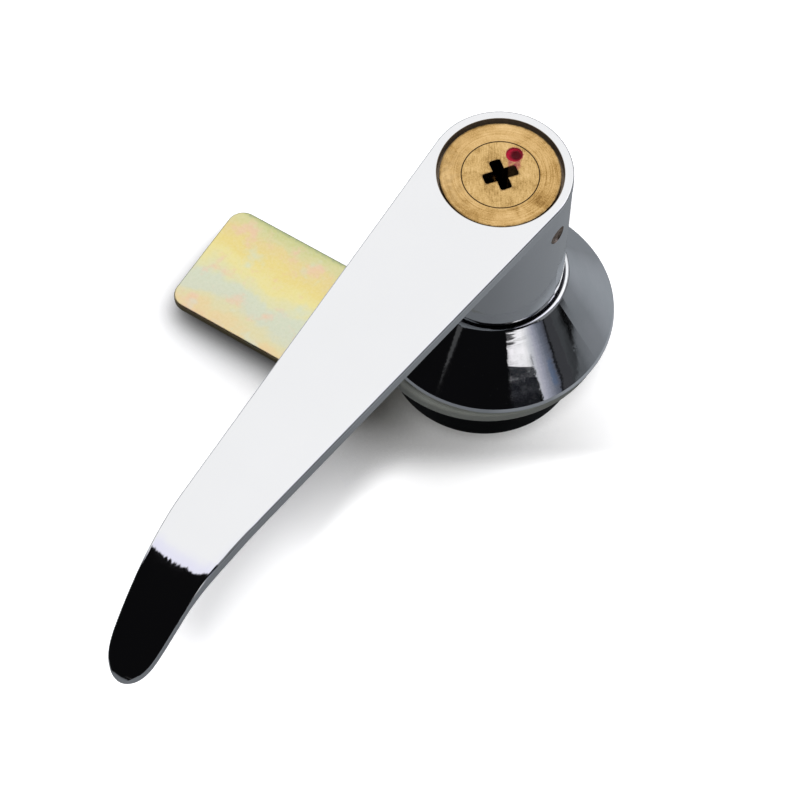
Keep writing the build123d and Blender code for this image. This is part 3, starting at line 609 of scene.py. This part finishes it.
# height at which each direction shows on the cone, in millimetres
azc = wt.add(az, 4.0)
zz = wt.mn(wt.add(wt.div(wt.add(wt.sub(el, 7.15), wt.mul(wt.mul(azc, azc), 0.00183)), 0.105), 0.9), 17.0)
edge = wt.add(wt.mul(wt.sub(zz, 4.0), 0.42), 54.2)
past = wt.sub(az, edge)
fall = wt.ramp(wt.lin(wt.add(az, wt.mul(wt.sub(16.0, zz), 0.12)), 14.0, 60.0), [
    (0.0, (1.16, 1.13, 1.15)), (0.35, (1.14, 1.12, 1.13)), (0.42, (0.98, 0.97, 0.98)), (0.485, (0.80, 0.80, 0.83)),
    (0.55, (0.615, 0.622, 0.67)), (0.61, (0.48, 0.48, 0.55)), (0.675, (0.346, 0.357, 0.426)), (0.74, (0.244, 0.257, 0.31)),
    (0.80, (0.155, 0.169, 0.21)), (0.86, (0.118, 0.128, 0.162)), (0.93, (0.075, 0.08, 0.10)), (1.0, (0.05, 0.052, 0.06))])
fall = wt.vmul(fall, wt.mix(wt.mul(wt.band(az, 48.5, 52.8, 1.2), wt.band(zz, 5.6, 8.2, 0.8)), (1.0, 1.0, 1.0), (0.66, 0.92, 1.25)))
foot = wt.sub(zz, wt.sub(11.9, wt.mul(az, 0.048)))
grain = wt.noise(wt.vmul(d, (300.0, 300.0, 1500.0)), 1.0, 2.0, 0.6)
blob = wt.mul(wt.step(az, 13.6, 14.6), wt.step(foot, -0.18, 0.18))
blob = wt.mul(blob, wt.sub(1.0, wt.mul(wt.step(zz, 13.2, 11.8, 0.0, 0.34), wt.step(az, 33.0, 24.0))))
blob = wt.mul(blob, wt.sub(1.0, wt.mul(wt.step(el, 7.75, 8.2, 0.0, 0.93), wt.step(az, 29.0, 22.0))))
strip = wt.step(wt.add(az, wt.mul(wt.sub(zz, 4.0), 0.25)), 37.7, 38.7)
window = wt.mul(wt.mul(wt.mx(blob, strip), wt.step(past, -0.5, -1.3)), wt.band(el, -1.0, 34.0, 0.5))
under = wt.mul(wt.mul(wt.step(az, 13.0, 18.0), wt.step(az, 36.6, 35.6)), wt.step(foot, 0.1, -0.3))
undercol = wt.vmul(wt.ramp(wt.lin(zz, 3.0, 11.0), [
    (0.0, (0.004, 0.0055, 0.009)), (0.48, (0.006, 0.0085, 0.015)), (0.62, (0.011, 0.017, 0.028)), (0.71, (0.042, 0.053, 0.075)),
    (0.79, (0.036, 0.046, 0.064)), (0.85, (0.006, 0.007, 0.010)), (1.0, (0.004, 0.004, 0.005))]),
    wt.vec(*[wt.lin(grain, 0.3, 0.7, 0.15, 0.85)] * 3))
far = wt.mul(wt.mul(wt.step(past, 0.5, 1.5), wt.step(az, 84.0, 80.0)), wt.band(el, -2.0, 14.0, 1.0))
side = wt.mul(wt.band(az, 62.0, 135.0, 3.0), wt.band(el, 11.0, 70.0, 3.0))
side2 = wt.mul(wt.band(az, 78.0, 150.0, 2.0), wt.band(el, -2.0, 12.0, 1.5))
thin = wt.math("ABSOLUTE", wt.sub(az, wt.add(wt.mul(wt.sub(zz, 6.0), 0.105), -40.8)))
faint = wt.mul(wt.step(wt.sub(thin, wt.mul(wt.sub(zz, 3.5), 0.27)), 0.35, -0.35), wt.mul(wt.step(zz, 5.0, 6.4), wt.step(el, 7.4, 6.9)))
faint = wt.mul(faint, wt.lin(grain, 0.3, 0.7, 0.7, 1.3))
back = wt.mul(wt.step(wt.mul(dv, 1.0), 0.2, 0.6), wt.band(el, -2.0, 22.0, 2.0))


def lit(c, f):
    return wt.vmul(wt.vec(*[f] * 3) if isinstance(f, bpy.types.NodeSocket) else (f, f, f), c)


wlp = wt.node("ShaderNodeLightPath")
topcol = wt.mix(wt.mul(wt.step(Y, 0.46, 0.10), wlp.outputs["Is Glossy Ray"]), (1.11, 1.11, 1.115), (1.0, 0.99, 1.14))
total = wt.vadd(wt.vmul(wt.vec(top, top, top), topcol), wt.vmul(wt.vec(window, window, window), fall))
total = wt.vadd(total, wt.vmul(wt.vec(under, under, under), undercol))
for c, f in (((0.047, 0.048, 0.053), far), ((0.22, 0.225, 0.235), side),
             ((0.17, 0.175, 0.185), side2), ((0.062, 0.062, 0.063), faint), ((0.5, 0.505, 0.515), back)):
    total = wt.vadd(total, lit(c, f))
total = wt.vadd(total, (0.004, 0.004, 0.0045))
colour = wt.mix(wlp.outputs["Is Camera Ray"], total, (1.0, 1.0, 1.0))
wt.put(bg.inputs["Color"], colour)
bg.inputs["Strength"].default_value = 1.0
wt.l.new(bg.outputs[0], wo.inputs[0])
world.cycles.sampling_method = "MANUAL"
world.cycles.sample_map_resolution = 1024


def sun(name, direction, strength, angle, color=(1, 1, 1)):
    ld = bpy.data.lights.new(name, "SUN")
    ld.energy = strength
    ld.angle = math.radians(angle)
    ld.color = color
    ob = bpy.data.objects.new(name, ld)
    bpy.context.scene.collection.objects.link(ob)
    ob.rotation_mode = "QUATERNION"
    ob.rotation_quaternion = Vector(direction).to_track_quat("Z", "Y")
    ob.visible_glossy = False
    return ob


# soft lamp from the viewer's left, which never shows in the polished metal
sun("lamp_left", uvw(-0.04, -0.455, 0.89), 1.45, 8.0)

sc = bpy.context.scene
sc.view_settings.view_transform = "Standard"
sc.view_settings.look = "None"
sc.view_settings.exposure = 0.0
sc.view_settings.gamma = 1.0

bpy.context.view_layer.update()
